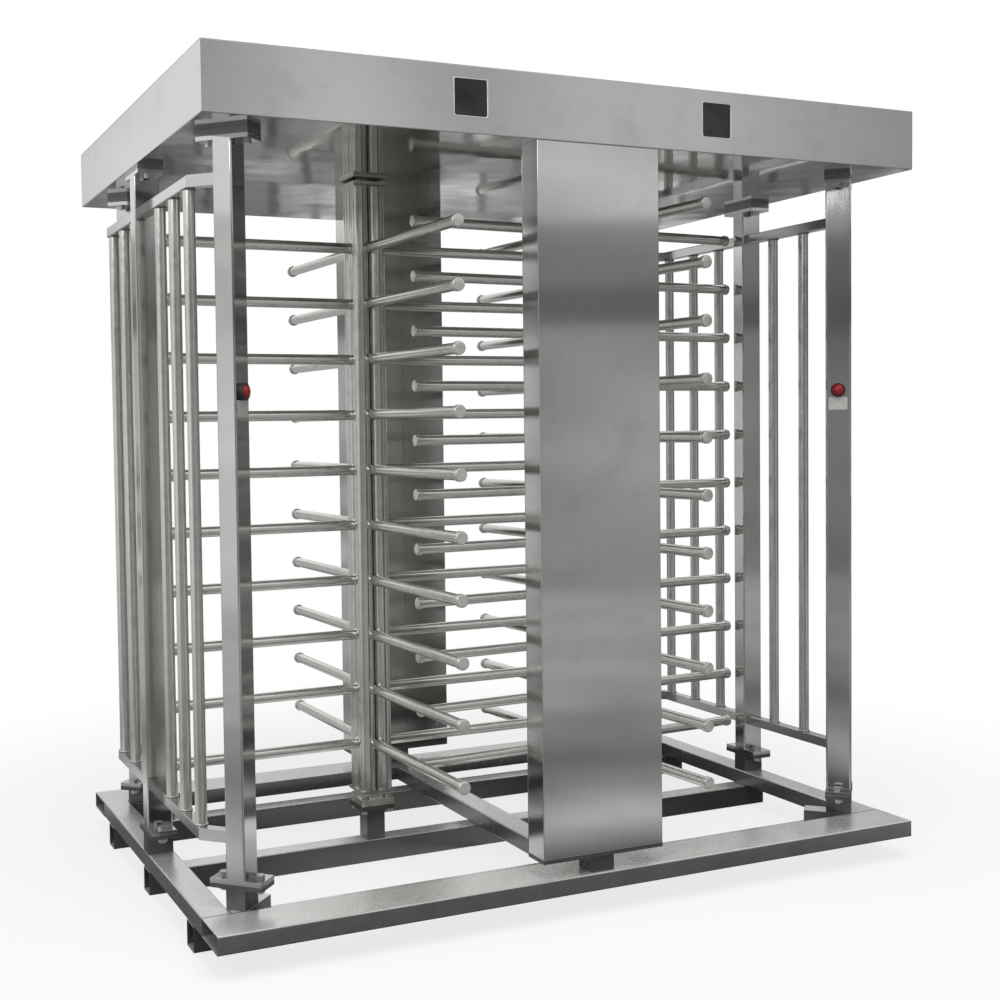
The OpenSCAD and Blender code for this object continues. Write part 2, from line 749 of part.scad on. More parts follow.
module pinion(side) color(zinc) at_rotor(side) translate([pinion_x, 0, 0]) {
    at_z(gear_z + gear_rise) linear_extrude(gear_w)
        rotate([0, 0, 180 / pinion_teeth]) gear_outline(pinion_teeth, gear_module);
    at_z(frame_top - motor_h / 2)
        cylinder(h = gear_z + gear_rise + gear_w / 2 - frame_top + motor_h / 2, d = motor_shaft_d);
}
module left_pinion() pinion(-1);
module right_pinion() pinion(1);

module lock_disc(side) color(zinc) at_rotor(side) at_z(disc_z) difference() {
    cylinder(h = disc_t, d = disc_d);
    at_z(-disc_t) cylinder(h = 3 * disc_t, r = shaft_d / 2 + running_fit);
    for (a = [0:90:270]) rotate([0, 0, a])
        translate([disc_d / 2 - notch_deep, -notch_w / 2, -disc_t])
            cube([disc_d, notch_w, 3 * disc_t]);
}
module left_lock_disc() lock_disc(-1);
module right_lock_disc() lock_disc(1);

// A pawl about its pin: lever along +X with a tooth towards -Y, tail along -X
tooth_deep = pawl_y - disc_d / 2 - tooth_gap;
module pawl(side, end) color(zinc) at_rotor(side) mirror([0, end > 0 ? 0 : 1, 0])
    translate([-pawl_x, pawl_y, disc_z]) difference() {
        union() {
            cylinder(h = disc_t, d = pawl_boss_d);
            translate([-tail_l - pawl_w / 2, -pawl_w / 2, 0])
                cube([tail_l + pawl_w + pawl_x + tooth_w / 2, pawl_w, disc_t]);
            translate([pawl_x - tooth_w / 4, -tooth_deep, 0]) cube([tooth_w, tooth_deep, disc_t]);
        }
        at_z(-disc_t) cylinder(h = 3 * disc_t, r = pin_d / 2 + running_fit);
    }
module left_entry_pawl() pawl(-1, 1);
module left_exit_pawl() pawl(-1, -1);
module right_entry_pawl() pawl(1, 1);
module right_exit_pawl() pawl(1, -1);

// What stands still round the rotors

module mechanism_plates() color(zinc) at_rotors() difference() {
    at_z(frame_top) block([mech_l, mech_w, mech_t]);
    through_hole(shaft_hole_d, frame_top, mech_t);
    translate([pinion_x, 0, 0]) through_hole(2 * motor_shaft_d, frame_top, mech_t);
    at_corners(flange_bolt) through_hole(bearing_bolt_d + 2 * bolt_play, frame_top, mech_t);
}

module at_pawls() at_rotors() both_y() translate([-pawl_x, pawl_y, 0]) children();

spring_z = disc_z - turn_gap - spring_h;
module pawl_pins() color(bright_steel) at_pawls() {
    at_z(mech_z) cylinder(h = spring_z - mech_z, d = pin_foot_d);
    at_z(mech_z) cylinder(h = disc_z - turn_gap - mech_z, d = pin_neck_d);
    at_z(mech_z) cylinder(h = disc_z + disc_t + turn_gap - mech_z, d = pin_d);
    at_z(disc_z + disc_t + turn_gap) cylinder(h = disc_t / 4, d = 1.5 * pin_d);
}

// Wound wire drawn as a sleeve with one leg
module pawl_springs() color(dark_steel) at_pawls() at_z(spring_z) difference() {
    union() {
        cylinder(h = spring_h - turn_gap, d = pin_neck_d + 2 * spring_wire);
        translate([0, pin_neck_d / 2, 0]) cube([2 * pin_neck_d, spring_wire, spring_wire]);
    }
    at_z(-spring_h) cylinder(h = 3 * spring_h, d = pin_neck_d + loose_fit);
}

magnet_y = pawl_w / 2 + magnet_gap;
module pawl_magnets() color(dark_steel) at_pawls() translate([-tail_l, magnet_y, mech_z]) {
    translate([0, magnet / 2 + tooth_gap, 0]) block([magnet, magnet, disc_z + disc_t - mech_z]);
    at_z(disc_z + disc_t / 2 - mech_z) rotate([-90, 0, 0])
        cylinder(h = magnet / 2, d = magnet / 3);
}

module centring_motors() color(dark_steel) at_rotors() translate([pinion_x, 0, 0]) difference() {
    at_z(frame_top - motor_h) cylinder(h = motor_h, d = motor_d);
    at_z(frame_top - 0.6 * motor_h) cylinder(h = motor_h, r = motor_shaft_d / 2 + running_fit);
}

module position_sensors() color(black) at_rotors()
    translate([-disc_d / 2 - tooth_gap - sensor_l, 0, 0]) {
        at_z(disc_z + disc_t / 2) rotate([0, 90, 0]) cylinder(h = sensor_l, d = sensor_d);
        at_z(mech_z) block([sensor_d, 2 * sensor_d, disc_z + 2 * disc_t - mech_z]);
    }

// Buttons, drawn about the post's axis with the face towards +Y

module on_face(z) translate([0, post_t / 2, z]) rotate([-90, 0, 0]) children();

module button_bodies() color(black) at_front_posts() on_face(button_z) difference() {
    union() {
        cylinder(h = button_collar_h, d = button_collar_d);
        at_z(-sleeve_l) cylinder(h = sleeve_l, d = sleeve_d);
        at_z(-post_wall - button_collar_h / 2)
            cylinder(h = button_collar_h / 2, d = sleeve_d * 1.4, $fn = 6);
    }
    at_z(-2 * sleeve_l) cylinder(h = 4 * sleeve_l, r = stem_d / 2 + running_fit);
    at_z(button_collar_h / 2) cylinder(h = button_collar_h, d = button_d + 4 * turn_gap);
}

button_rest = button_collar_h / 2 + button_travel + turn_gap;
module button(side) color(red) at_front_post(side) on_face(button_z) {
    at_z(button_rest) intersection() {
        cylinder(h = button_h, d = button_d);
        at_z(button_h - button_d * dome_share) sphere(r = button_d * dome_share);
    }
    at_z(button_travel - sleeve_l)
        cylinder(h = button_rest + sleeve_l - button_travel + button_h / 4, d = stem_d);
}
module left_button() button(-1);
module right_button() button(1);

module button_plates() color(bright_steel) at_front_posts()
    on_face(button_z - button_collar_d / 2 - loose_fit - tag_h / 2)
        block([tag_w, tag_h, tag_t]);

base_long_rails();
base_depth_rails();
base_crossbars();
corner_beams();
post_pedestals();
pillar_pedestals();
rotor_pedestals();
corner_posts();
side_posts();
post_pads();
post_bolts();
left_cage_rails();
left_cage_bars();
right_cage_rails();
right_cage_bars();
pillar_covers();
front_pillar_inner_panel();
rear_pillar_inner_panels();
pillar_uprights();
pillar_screws();
canopy_fascia();
canopy_soffit();
canopy_cover();
canopy_frame();
window_panes();
indicator_boards();
mechanism_plates();
bottom_bearings();
top_bearings();
bearing_bolts();
pawl_pins();
pawl_springs();
pawl_magnets();
centring_motors();
position_sensors();
controller_box();
power_supply();
cable_trunking();
button_bodies();
button_plates();
left_rotor_column();
left_rotor_arms();
left_arm_caps();
left_top_shaft();
left_drive_gear();
left_lock_disc();
left_pinion();
left_entry_pawl();
left_exit_pawl();
right_rotor_column();
right_rotor_arms();
right_arm_caps();
right_top_shaft();
right_drive_gear();
right_lock_disc();
right_pinion();
right_entry_pawl();
right_exit_pawl();
left_button();
right_button();
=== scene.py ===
# Full height turnstile: dresses the CAD frame with materials, rounded tubes, light and a camera
import json
import math

import bmesh
import bpy
from mathutils import Matrix, Vector


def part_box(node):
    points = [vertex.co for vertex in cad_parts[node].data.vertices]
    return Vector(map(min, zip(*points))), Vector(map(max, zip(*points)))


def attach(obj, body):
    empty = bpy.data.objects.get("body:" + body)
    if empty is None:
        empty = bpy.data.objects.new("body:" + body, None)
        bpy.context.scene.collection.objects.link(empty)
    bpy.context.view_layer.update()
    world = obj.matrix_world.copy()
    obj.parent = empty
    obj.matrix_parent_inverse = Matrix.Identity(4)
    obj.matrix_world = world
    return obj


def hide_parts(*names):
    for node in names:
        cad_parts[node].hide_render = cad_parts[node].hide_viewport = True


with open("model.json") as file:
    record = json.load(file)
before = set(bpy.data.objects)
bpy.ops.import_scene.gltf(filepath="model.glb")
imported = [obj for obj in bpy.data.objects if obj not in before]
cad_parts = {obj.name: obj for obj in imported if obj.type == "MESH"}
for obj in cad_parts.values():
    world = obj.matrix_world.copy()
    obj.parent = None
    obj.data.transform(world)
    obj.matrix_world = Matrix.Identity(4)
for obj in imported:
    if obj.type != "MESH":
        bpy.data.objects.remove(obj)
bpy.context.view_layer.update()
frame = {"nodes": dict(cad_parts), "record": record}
scene = bpy.context.scene
record = frame["record"]
slot_of = {row["node"]: row["material_slot"] for row in record["subparts"]}
body_of_node = {node: body for body, nodes in record["behaviour"]["bodies"].items() for node in nodes}


# Camera, placed as the photograph was taken: pixels, radians, metres, and the sensor in millimetres
IMAGE = 1000
FOCAL_PX = 1354.3
CENTRE_PX = (385, 482.6)
YAW, PITCH, ROLL = 0.4085, 0.0407, -0.0144
CAMERA_PLACE = (-2.0235, -3.9135, 1.3634)
SENSOR = 36


def make_camera():
    """The photograph's camera, with its optical centre at CENTRE_PX of the picture."""
    fwd = Vector((math.sin(YAW) * math.cos(PITCH), math.cos(YAW) * math.cos(PITCH), -math.sin(PITCH)))
    right = Vector((math.cos(YAW), -math.sin(YAW), 0))
    up = right.cross(fwd)
    side = right * math.cos(ROLL) + up * math.sin(ROLL)
    top = up * math.cos(ROLL) - right * math.sin(ROLL)
    lens = bpy.data.cameras.new("photo_camera")
    lens.sensor_width = SENSOR
    lens.lens = FOCAL_PX / IMAGE * SENSOR
    lens.shift_x = (IMAGE / 2 - CENTRE_PX[0]) / IMAGE
    lens.shift_y = (CENTRE_PX[1] - IMAGE / 2) / IMAGE
    camera = bpy.data.objects.new("photo_camera", lens)
    scene.collection.objects.link(camera)
    place = Matrix((side, top, -fwd)).transposed().to_4x4()
    place.translation = Vector(CAMERA_PLACE)
    camera.matrix_world = place
    scene.camera = camera


# Node helpers, with the numbers of the sockets of a Mix node for colours
MIX_FACTOR, MIX_A, MIX_B, MIX_RESULT = 0, 6, 7, 2


def grey(level):
    return (level, level, level)


def shade(color, factor):
    return tuple(v * factor for v in color)


class Graph:
    """A node tree with short calls for the nodes that the materials share."""

    def __init__(self, tree, output):
        self.tree = tree
        self.tree.nodes.clear()
        self.out = self.node(output)

    def node(self, kind, **props):
        made = self.tree.nodes.new(kind)
        for key, value in props.items():
            setattr(made, key, value)
        return made

    def put(self, value, socket):
        """Links an output to a socket, or sets the socket to a number, vector or colour."""
        if isinstance(value, bpy.types.NodeSocket):
            self.tree.links.new(value, socket)
        elif isinstance(value, tuple) and len(socket.default_value) == 4:
            socket.default_value = (*value, 1)
        else:
            socket.default_value = value

    def coords(self, scale=(1, 1, 1)):
        mapping = self.node("ShaderNodeMapping")
        self.put(self.node("ShaderNodeTexCoord").outputs["Object"], mapping.inputs["Vector"])
        self.put(scale, mapping.inputs["Scale"])
        return mapping.outputs["Vector"]

    def parts(self, vector):
        """The X, Y and Z outputs of a vector."""
        split = self.node("ShaderNodeSeparateXYZ")
        self.put(vector, split.inputs[0])
        return split.outputs

    def length(self, vector):
        measured = self.node("ShaderNodeVectorMath", operation="LENGTH")
        self.put(vector, measured.inputs[0])
        return measured.outputs["Value"]

    def direction(self):
        """Direction from the Z axis: -X, -Y, +X and +Y give 0, a quarter, a half and three quarters."""
        turn = self.node("ShaderNodeTexGradient", gradient_type="RADIAL")
        self.put(self.coords(), turn.inputs["Vector"])
        return turn.outputs["Fac"]

    def noise(self, vector, scale, detail, rough=0.5):
        tex = self.node("ShaderNodeTexNoise")
        self.put(vector, tex.inputs["Vector"])
        self.put(scale, tex.inputs["Scale"])
        self.put(detail, tex.inputs["Detail"])
        self.put(rough, tex.inputs["Roughness"])
        return tex.outputs["Fac"]

    def span(self, value, start, end, low=0.0, high=1.0, smooth=False):
        """Turns the values from start to end into those from low to high."""
        ranged = self.node("ShaderNodeMapRange", interpolation_type="SMOOTHSTEP" if smooth else "LINEAR")
        sockets = ("Value", "From Min", "From Max", "To Min", "To Max")
        for socket, given in zip(sockets, (value, start, end, low, high)):
            self.put(given, ranged.inputs[socket])
        return ranged.outputs["Result"]

    def math(self, kind, a, b):
        made = self.node("ShaderNodeMath", operation=kind)
        self.put(a, made.inputs[0])
        self.put(b, made.inputs[1])
        return made.outputs[0]

    def mix(self, factor, a, b):
        made = self.node("ShaderNodeMix", data_type="RGBA")
        self.put(factor, made.inputs[MIX_FACTOR])
        self.put(a, made.inputs[MIX_A])
        self.put(b, made.inputs[MIX_B])
        return made.outputs[MIX_RESULT]

    def ramp(self, factor, stops):
        """Greys by a factor, from pairs of its value and a grey."""
        made = self.node("ShaderNodeValToRGB")
        self.put(factor, made.inputs["Fac"])
        elements = made.color_ramp.elements
        while len(elements) < len(stops):
            elements.new(0.5)
        for element, (place, level) in zip(elements, stops):
            element.position = place
            element.color = (*grey(level), 1)
        return made.outputs["Color"]

    def bump(self, height, strength, distance, under=None):
        made = self.node("ShaderNodeBump")
        self.put(height, made.inputs["Height"])
        self.put(strength, made.inputs["Strength"])
        self.put(distance, made.inputs["Distance"])
        if under is not None:
            self.put(under, made.inputs["Normal"])
        return made.outputs["Normal"]


def material(name):
    mat = bpy.data.materials.new(name)
    mat.use_nodes = True
    return mat, Graph(mat.node_tree, "ShaderNodeOutputMaterial")


def surface(g, color, roughness, normal, **fixed):
    """The shader of a surface; what is the same all over it is set on the shader's own sockets."""
    shader = g.node("ShaderNodeBsdfPrincipled")
    g.put(color, shader.inputs["Base Color"])
    g.put(roughness, shader.inputs["Roughness"])
    g.put(normal, shader.inputs["Normal"])
    for key, value in fixed.items():
        g.put(value, shader.inputs[key.replace("_", " ")])
    g.put(shader.outputs["BSDF"], g.out.inputs["Surface"])
    return shader


# Materials and their colours
STEEL = (0.60, 0.598, 0.588)
# Painted shade: a darker copy of the brushed steel, for the pillars' inner panels
INNER_SHADED_STEEL = (0.36, 0.355, 0.34)
SOFFIT_STEEL = (0.50, 0.498, 0.485)
RUBBED_STEEL = (0.33, 0.325, 0.31)
# Painted light: the lighter colour painted on the faces of the frame steel that look up, as if lit from
# above
LIT_TOP_STEEL = (0.76, 0.757, 0.74)
# Scales of the streaks of each grain: long along it and fine across it
ALONG, ACROSS = 0.6, 40
STREAK = {"x": (ALONG, ACROSS, ACROSS), "y": (ACROSS, ALONG, ACROSS), "z": (ACROSS, ACROSS, ALONG)}
# Values of a noise between which a tone or gloss goes from its one end to its other
NOISE_RANGE = (0.3, 0.7)
RUBBED_RANGE = (0.35, 0.7)
# Brightness of the dark end of each tone, over the material's own colour
STREAK_SHADE = 0.93
# Painted light: the dark end of the lighter colour painted on the faces that look up
LIT_TOP_SHADE = 0.92
MOTTLE_SHADE = 0.88
STAIN_SHADE = 0.62
# Share of the stains in a brushed sheet's gloss, and the size of cloudy patches over that of the mottle
STAINS_IN_GLOSS = 0.35
CLOUD_SIZE = 9
# The shader's turn of its streaked highlight where the grain lies level
QUARTER_TURN = 0.25


def brushed(name, grain, color=STEEL, rough=(0.13, 0.20)):
    """Brushed stainless steel: streaks along the grain, faint stains, and soft waves in the sheet."""
    mat, g = material(name)
    streaks = g.noise(g.coords(STREAK[grain]), scale=22, detail=4, rough=0.6)
    stains = g.noise(g.coords(), scale=7, detail=5, rough=0.6)
    waves = g.noise(g.coords(), scale=2.1, detail=2)
    tone = g.mix(g.span(streaks, *NOISE_RANGE), shade(color, STREAK_SHADE), color)
    stained = g.span(stains, start=0.5, end=0.8, high=0.30, smooth=True)
    tone = g.mix(stained, tone, shade(color, STAIN_SHADE))
    roughness = g.span(g.mix(STAINS_IN_GLOSS, streaks, stains), *NOISE_RANGE, *rough)
    wavy = g.bump(waves, strength=0.02, distance=0.02)
    normal = g.bump(streaks, strength=0.05, distance=0.001, under=wavy)
    shader = surface(g, tone, roughness, normal, Metallic=1.0, Anisotropic=0.65)
    if grain != "z":
        g.put(QUARTER_TURN, shader.inputs["Anisotropic Rotation"])
    tangent = g.node("ShaderNodeTangent", direction_type="RADIAL", axis="Z")
    g.put(tangent.outputs[0], shader.inputs["Tangent"])
    return mat


def rolled(name, color, rough, metallic, grain, bump, stain, lit_top=None):
    """Plated, painted or mill-finished metal and moulded plastic: a fine mottle with larger cloudy
    patches, and where a top colour is given, painted light: that lighter colour on the faces that look up,
    with the darker colour left on the sides as painted shade."""
    mat, g = material(name)
    mottle = g.noise(g.coords(), scale=grain, detail=4, rough=0.6)
    clouds = g.noise(g.coords(), scale=grain / CLOUD_SIZE, detail=4, rough=0.55)
    spread = g.span(mottle, *NOISE_RANGE)
    tone = g.mix(spread, shade(color, MOTTLE_SHADE), color)
    # Painted light: faces that look up take the lighter top colour, as if lit from above, and the sides
    # keep the darker colour as painted shade
    if lit_top is not None:
        facing = g.parts(g.node("ShaderNodeTexCoord").outputs["Normal"])
        lit_tone = g.mix(spread, shade(lit_top, LIT_TOP_SHADE), lit_top)
        tone = g.mix(g.span(facing["Z"], start=0.3, end=0.9, smooth=True), tone, lit_tone)
    clouded = g.span(clouds, start=0.45, end=0.75, high=stain, smooth=True)
    tone = g.mix(clouded, tone, shade(color, STAIN_SHADE))
    roughness = g.span(mottle, *NOISE_RANGE, *rough)
    surface(g, tone, roughness, g.bump(mottle, bump, distance=0.0006), Metallic=metallic)
    return mat


def mirror_sheet(name):
    """The polished soffit: a slightly wavy mirror with rubbed patches."""
    mat, g = material(name)
    waves = g.noise(g.coords(), scale=2.2, detail=2)
    ripple = g.noise(g.coords(), scale=9, detail=2)
    rubbed = g.noise(g.coords(), scale=5, detail=5, rough=0.6)
    tone = g.mix(g.span(rubbed, *RUBBED_RANGE, smooth=True), RUBBED_STEEL, SOFFIT_STEEL)
    roughness = g.span(rubbed, *RUBBED_RANGE, low=0.09, high=0.03)
    wavy = g.bump(waves, strength=0.12, distance=0.02)
    normal = g.bump(ripple, strength=0.03, distance=0.003, under=wavy)
    surface(g, tone, roughness, normal, Metallic=1.0)
    return mat


MATERIALS = {
    "steel_x": brushed("steel_grain_x", "x"),
    "steel_y": brushed("steel_grain_y", "y"),
    "steel_z": brushed("steel_grain_z", "z", rough=(0.07, 0.11)),
    # Painted shade: the pillars' inner panels take the darker copy of the brushed steel
    "inner": brushed("inner_panel_painted_shade", "z", INNER_SHADED_STEEL, rough=(0.10, 0.16)),
    "cap": rolled(
        "cap_steel", (0.74, 0.73, 0.69), rough=(0.20, 0.30),
        metallic=0.75, grain=40, bump=0.02, stain=0.15),
    "tube": rolled(
        "polished_tube", (0.72, 0.712, 0.68), rough=(0.15, 0.22),
        metallic=0.92, grain=30, bump=0.008, stain=0.12),
    "mirror": mirror_sheet("polished_soffit"),
    "bright": rolled(
        "bright_steel", (0.78, 0.77, 0.74), rough=(0.25, 0.35),
        metallic=0.6, grain=40, bump=0.02, stain=0.15),
    # Painted light and shade: the frame steel's own colour is the dark one of its sides, and its tops take
    # the lighter painted top colour
    "base": rolled(
        "frame_steel_painted_light", (0.25, 0.249, 0.243), rough=(0.24, 0.30),
        metallic=0.6, grain=16, bump=0.01, stain=0.12, lit_top=LIT_TOP_STEEL),
    # Painted shade: a darker copy of the frame steel, for the crossbars and pedestals under the frame
    "under": rolled(
        "underframe_steel_painted_shade", (0.13, 0.13, 0.127), rough=(0.24, 0.30),
        metallic=0.6, grain=16, bump=0.01, stain=0.12, lit_top=LIT_TOP_STEEL),
    "chrome": rolled(
        "warm_chrome", (0.80, 0.775, 0.71), rough=(0.16, 0.26),
        metallic=0.8, grain=30, bump=0.01, stain=0.15),
    "dark": rolled(
        "spring_steel", grey(0.10), rough=(0.3, 0.45),
        metallic=1.0, grain=60, bump=0.2, stain=0.3),
    "zinc": rolled(
        "zinc_plate", (0.56, 0.57, 0.59), rough=(0.28, 0.45),
        metallic=1.0, grain=90, bump=0.15, stain=0.4),
    "glass": rolled(
        "black_glass", (0.012, 0.012, 0.014), rough=(0.03, 0.08),
        metallic=0.0, grain=30, bump=0.02, stain=0.3),
    "black": rolled(
        "black_plastic", (0.025, 0.025, 0.027), rough=(0.4, 0.6),
        metallic=0.0, grain=300, bump=0.3, stain=0.3),
    "paint": rolled(
        "black_paint", (0.03, 0.03, 0.033), rough=(0.3, 0.45),
        metallic=0.0, grain=200, bump=0.3, stain=0.3),
    "board": rolled(
        "green_board", (0.02, 0.16, 0.06), rough=(0.25, 0.4),
        metallic=0.0, grain=120, bump=0.2, stain=0.4),
    "red": rolled(
        "red_plastic", (0.32, 0.012, 0.014), rough=(0.22, 0.34),
        metallic=0.0, grain=150, bump=0.1, stain=0.3),
}

# Look of each node of the frame; those not named here are zinc plated
LOOKS = {
    # Base: painted light on the tops and painted shade on the sides, from the frame steel's two colours
    "base": "base_long_rails base_depth_rails corner_beams post_pads",
    # Under: painted shade, the frame steel made darker for the parts under the frame
    "under": "base_crossbars post_pedestals pillar_pedestals rotor_pedestals",
    "steel_z": "corner_posts side_posts pillar_covers",
    "inner": "front_pillar_inner_panel rear_pillar_inner_panels",
    "steel_y": "left_cage_rails right_cage_rails canopy_cover",
    "steel_x": "canopy_fascia",
    "tube": "left_rotor_arms right_rotor_arms left_rotor_column right_rotor_column "
    "left_cage_bars right_cage_bars",
    "chrome": "bottom_bearings",
    "mirror": "canopy_soffit",
    "bright": "left_top_shaft right_top_shaft button_plates pawl_pins",
    "dark": "pawl_springs",
    "glass": "window_panes",
    "black": "cable_trunking button_bodies position_sensors",
    "paint": "pawl_magnets centring_motors",
    "board": "indicator_boards",
    "red": "left_button right_button",
}
LOOK_OF = {node: look for look, nodes in LOOKS.items() for node in nodes.split()}


def dress(ob, look):
    ob.data.materials.clear()
    ob.data.materials.append(MATERIALS[look])


def dress_frame():
    for name, ob in frame["nodes"].items():
        dress(ob, LOOK_OF.get(name, "zinc"))


# Helpers for pieces
FLAT_WEIGHT = 100


def corners(node):
    """Lowest and highest corners of a node at rest."""
    low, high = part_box(node)
    return Vector(low), Vector(high)


def object_from(name, bm):
    mesh = bpy.data.meshes.new(name)
    bm.to_mesh(mesh)
    bm.free()
    made = bpy.data.objects.new(name, mesh)
    scene.collection.objects.link(made)
    return made


def keep_flat(piece):
    """Shades flat faces flat beside the small round edges, by letting the larger faces set the normals."""
    piece.modifiers.new("flat_faces", "WEIGHTED_NORMAL").weight = FLAT_WEIGHT


def full_turn(steps):
    """Angles of points spread evenly round a circle."""
    return [i / steps * 2 * math.pi for i in range(steps)]


def quarter_turn(steps):
    """Angles of points spread evenly over a quarter of a circle, its two ends among them."""
    return [i / steps * math.pi / 2 for i in range(steps + 1)]


def bridge(bm, loop, other):
    """Faces between two closed loops of as many points."""
    for i, vert in enumerate(loop):
        n = (i + 1) % len(loop)
        bm.faces.new((vert, loop[n], other[n], other[i]))


def bridge_round(bm, loops):
    """Faces between each loop and the next, and between the last and the first."""
    for loop, after in zip(loops, loops[1:] + loops[:1]):
        bridge(bm, loop, after)


# Tubes and sheets with the rounded corners of real ones
BROKEN_EDGE = 0.0006
CORNER_STEPS = 3
SAME_POINT = 1e-6
SAME_PLANE = math.radians(0.5)
SHARP = math.radians(30)


def rounded(node, radius, long_edge):
    """Replaces a node by a copy whose long edges have a radius and whose other edges are just broken."""
    bm = bmesh.new()
    bm.from_mesh(frame["nodes"][node].data)
    bmesh.ops.remove_doubles(bm, verts=bm.verts, dist=SAME_POINT)
    bmesh.ops.dissolve_limit(bm, angle_limit=SAME_PLANE, verts=bm.verts, edges=bm.edges)
    weight = bm.edges.layers.float.new("bevel_weight_edge")
    for edge in bm.edges:
        if len(edge.link_faces) == 2 and edge.calc_face_angle() > SHARP:
            is_long = edge.calc_length() > long_edge and edge.is_convex
            edge[weight] = 1 if is_long else BROKEN_EDGE / radius
    for face in bm.faces:
        face.smooth = True
    piece = object_from(node + "_rounded", bm)
    bevel = piece.modifiers.new("corners", "BEVEL")
    bevel.limit_method = "WEIGHT"
    bevel.width = radius
    bevel.segments = CORNER_STEPS
    bevel.use_clamp_overlap = False
    keep_flat(piece)
    dress(piece, LOOK_OF[node])
    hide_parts(node)
    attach(piece, body_of_node[node])


def round_the_tubes():
    for node in ("base_long_rails", "base_depth_rails", "base_crossbars", "corner_posts", "side_posts"):
        rounded(node, radius=0.005, long_edge=0.25)
    for node in ("left_cage_rails", "right_cage_rails"):
        rounded(node, radius=0.003, long_edge=0.1)
    for node in ("pillar_covers", "canopy_fascia"):
        rounded(node, radius=0.0025, long_edge=0.25)


# Pieces that the photograph shows on top of the frame's solids
def detail(name, bm, look, slot, body):
    bmesh.ops.recalc_face_normals(bm, faces=bm.faces)
    piece = object_from(name, bm)
    piece.data.shade_smooth()
    dress(piece, look)
    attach(piece, body)
    return piece


# Windows in the canopy: width and depth of the lining, and how far it and the pane are set back
LINING = 0.0022
LINING_DEPTH = 0.003
LINING_SET = 0.0002
PANE_SET = 0.0012
PANE_DEPTH = 0.0016
PANE_GAP = 0.0002
PANE_BORDER = 0.0044
PANE_CHAMFER = 0.0002
LINING_CORNER = 0.0015
PANE_CORNER = 0.006


def rounded_square(side, radius, steps=6):
    """Points of a square with round corners, in the XZ plane."""
    points = []
    for quarter in range(4):
        start = quarter * math.pi / 2
        diagonal = Vector((math.cos(start + math.pi / 4), math.sin(start + math.pi / 4)))
        centre = diagonal * math.sqrt(2) * (side / 2 - radius)
        for turn in quarter_turn(steps):
            points.append(centre + Vector((math.cos(start + turn), math.sin(start + turn))) * radius)
    return points


def loops_at(bm, place, outlines):
    """A loop of points for each outline, round a place in X and Z, at the Y that stands with it."""
    return [[bm.verts.new((place[0] + x, y, place[1] + z)) for x, z in points] for points, y in outlines]


def add_lining(bm, place, side, front, out):
    """The lining of a window whose face is at front and looks out along -Y or +Y."""
    back = front - out * LINING_DEPTH
    outer = rounded_square(side, LINING_CORNER)
    inner = rounded_square(side - 2 * LINING, PANE_CORNER)
    outlines = ((outer, back), (outer, front), (inner, front), (inner, back))
    bridge_round(bm, loops_at(bm, place, outlines))


def add_pane(bm, place, side, front, out):
    """The pane in the lining of such a window, with a chamfer round its face."""
    edge = rounded_square(side - 2 * LINING - 2 * PANE_GAP, PANE_CORNER)
    face = rounded_square(side - 2 * PANE_BORDER, PANE_CORNER)
    outlines = ((edge, front - out * PANE_DEPTH), (edge, front), (face, front + out * PANE_CHAMFER))
    back_loop, edge_loop, face_loop = loops_at(bm, place, outlines)
    bridge(bm, back_loop, edge_loop)
    bridge(bm, edge_loop, face_loop)
    bm.faces.new(back_loop)
    bm.faces.new(face_loop)


def make_windows():
    """Black panes with round corners behind a thin bright lining, in both faces of the canopy."""
    low, high = corners("window_panes")
    side = high.z - low.z
    linings = bmesh.new()
    panes = bmesh.new()
    for x in (low.x + side / 2, high.x - side / 2):
        for out in (-1, 1):
            place = (x, (low.z + high.z) / 2)
            front = out * (high.y - LINING_SET)
            add_lining(linings, place, side, front, out)
            add_pane(panes, place, side, front - out * PANE_SET, out)
    detail("window_linings", linings, "bright", "bright steel", "frame")
    glasses = detail("window_glasses", panes, "glass", slot_of["window_panes"], "frame")
    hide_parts("window_panes")


# Welds of the cage bars: a bead's middle is these shares of its radius outside the bar, and in from its end
BEAD_R = 0.0026
BEAD_OUT = 0.35
BEAD_IN = 0.3


def add_bead(bm, centre, bar_r, steps=28, sides=8):
    """A weld bead round an upright bar."""
    up = Vector((0, 0, 1))
    rings = []
    for turn in full_turn(steps):
        out = Vector((math.cos(turn), math.sin(turn), 0))
        middle = centre + out * (bar_r + BEAD_R * BEAD_OUT)
        spokes = [out * math.cos(tilt) + up * math.sin(tilt) for tilt in full_turn(sides)]
        rings.append([bm.verts.new(middle + spoke * BEAD_R) for spoke in spokes])
    bridge_round(bm, rings)


def bar_rows(mesh, bar_r):
    """Middles of the upright bars along Y, from the gaps between the mesh's points, to 0.1 mm."""
    edges = sorted({round(v.co.y, 4) for v in mesh.vertices})
    rows = [[edges[0]]]
    for y in edges[1:]:
        if y - rows[-1][-1] > bar_r:
            rows.append([y])
        else:
            rows[-1].append(y)
    return [(row[0] + row[-1]) / 2 for row in rows]


def make_cage_welds():
    for name in ("left", "right"):
        node = name + "_cage_bars"
        low, high = corners(node)
        bar_r = (high.x - low.x) / 2
        inset = BEAD_R * BEAD_IN
        bm = bmesh.new()
        for y in bar_rows(frame["nodes"][node].data, bar_r):
            for z in (low.z + inset, high.z - inset):
                add_bead(bm, Vector(((low.x + high.x) / 2, y, z)), bar_r)
        # The beads take the frame steel, with its painted light on the faces that look up
        detail(name + "_cage_welds", bm, "base", slot_of[node], "frame")


